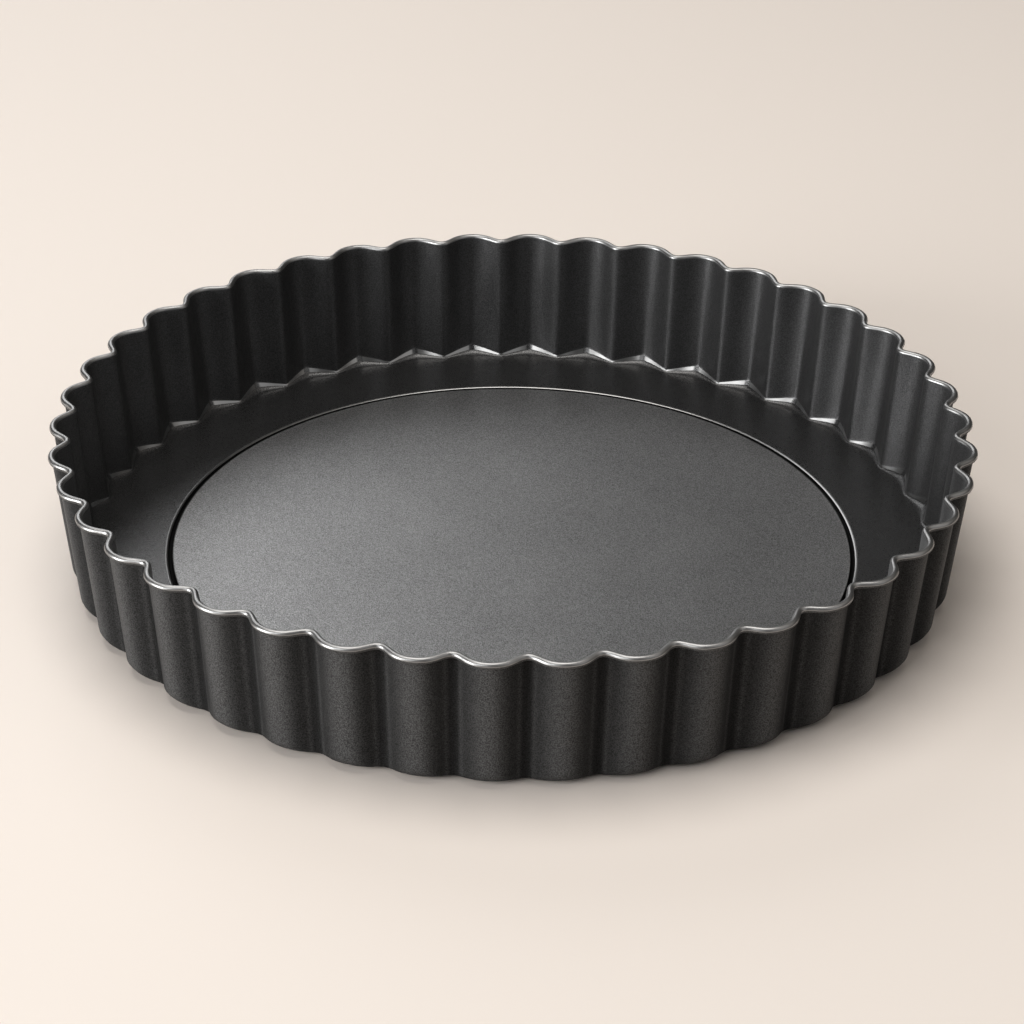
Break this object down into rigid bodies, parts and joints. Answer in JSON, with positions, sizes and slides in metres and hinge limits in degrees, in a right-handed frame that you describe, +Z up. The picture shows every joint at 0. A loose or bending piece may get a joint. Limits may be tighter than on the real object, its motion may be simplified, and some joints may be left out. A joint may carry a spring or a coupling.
{
  "type": "fluted tart tin",
  "caption": "Round fluted tart tin with a sloped wall, a rolled rim and a flat loose base that lifts out of the ring for serving.",
  "frame": {"origin": "on the tin's axis, at the height of the surface that the tin stands on", "axes": "+Z up along the tin's axis, +X through an outward flute"},
  "size_m": [0.25, 0.2492, 0.039],
  "materials": {
    "ring_coat": "satin charcoal non-stick coat on pressed steel, with a bright rolled rim",
    "base_coat": "satin charcoal non-stick coat with a fine grain on a flat steel disc"
  },
  "bodies": {
    "ring": {"fluted_ring": "ring_coat"},
    "base": {"loose_base": "base_coat"}
  },
  "joints": [
    {"name": "base_lift", "type": "slide", "parent": "ring", "child": "base", "axis": [0, 0, 1], "range_m": [0, 0.06]}
  ]
}
